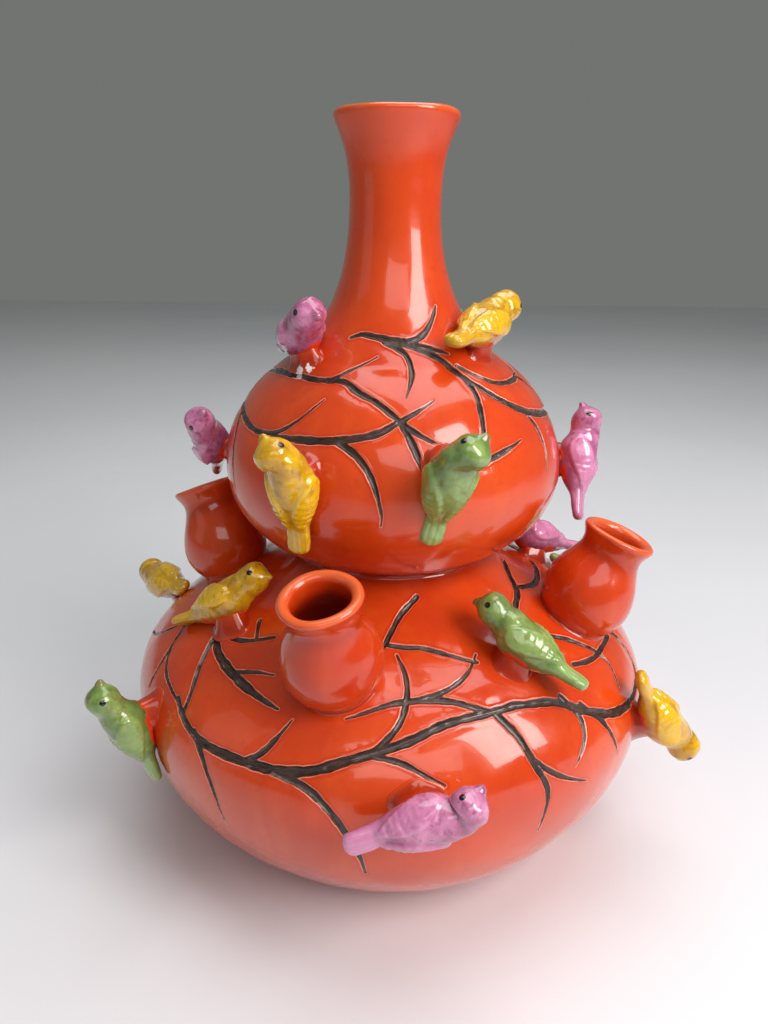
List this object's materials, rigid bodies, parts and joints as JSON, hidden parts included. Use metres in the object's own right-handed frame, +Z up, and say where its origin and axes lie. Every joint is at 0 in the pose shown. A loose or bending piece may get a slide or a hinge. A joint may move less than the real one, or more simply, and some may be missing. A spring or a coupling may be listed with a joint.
{
  "type": "double gourd vase with birds and pots",
  "caption": "Tall glazed clay vase in a double gourd shape with carved branches, small open pots on its shoulder and small birds perched all round it.",
  "frame": {"origin": "centre of the flat base, on the vase's own axis", "axes": "+Z up along the vase's axis, -Y towards the front pot and the front bird, +X to the viewer's right"},
  "size_m": [0.3619, 0.3694, 0.42],
  "materials": {
    "orange_glaze": "glossy coral orange glaze over red clay, thinner and paler along the carved branches, which are painted in streaky brown black",
    "mauve_glaze": "glossy mauve pink glaze, mottled, paler on raised parts",
    "yellow_glaze": "glossy egg yolk yellow glaze, pooled to ochre in the hollows",
    "green_glaze": "glossy sage green glaze, mottled, paler on the tail"
  },
  "bodies": {
    "root": {"belly_bowl": "orange_glaze", "belly_shoulder": "orange_glaze", "upper_bulb": "orange_glaze", "neck": "orange_glaze", "pot_front": "orange_glaze", "pot_front_clay_ring": "orange_glaze", "pot_right": "orange_glaze", "pot_right_clay_ring": "orange_glaze", "pot_back": "orange_glaze", "pot_back_clay_ring": "orange_glaze", "pot_left": "orange_glaze", "pot_left_clay_ring": "orange_glaze", "bird_crown_left": "mauve_glaze", "pad_crown_left": "orange_glaze", "bird_crown_right": "yellow_glaze", "pad_crown_right": "orange_glaze", "bird_crown_back": "green_glaze", "pad_crown_back": "orange_glaze", "bird_bulb_left": "mauve_glaze", "pad_bulb_left": "orange_glaze", "bird_bulb_front_left": "yellow_glaze", "pad_bulb_front_left": "orange_glaze", "bird_bulb_front_right": "green_glaze", "pad_bulb_front_right": "orange_glaze", "bird_bulb_right": "mauve_glaze", "pad_bulb_right": "orange_glaze", "bird_bulb_back_right": "yellow_glaze", "pad_bulb_back_right": "orange_glaze", "bird_bulb_back_left": "green_glaze", "pad_bulb_back_left": "orange_glaze", "bird_shoulder_far_left": "yellow_glaze", "pad_shoulder_far_left": "orange_glaze", "bird_shoulder_left": "yellow_glaze", "pad_shoulder_left": "orange_glaze", "bird_shoulder_right": "green_glaze", "pad_shoulder_right": "orange_glaze", "bird_shoulder_back_right": "mauve_glaze", "pad_shoulder_back_right": "orange_glaze", "bird_shoulder_far_right": "green_glaze", "pad_shoulder_far_right": "orange_glaze", "bird_belly_left": "green_glaze", "pad_belly_left": "orange_glaze", "bird_belly_front": "mauve_glaze", "pad_belly_front": "orange_glaze", "bird_belly_right": "yellow_glaze", "pad_belly_right": "orange_glaze", "bird_belly_back": "mauve_glaze", "pad_belly_back": "orange_glaze"}
  },
  "joints": []
}
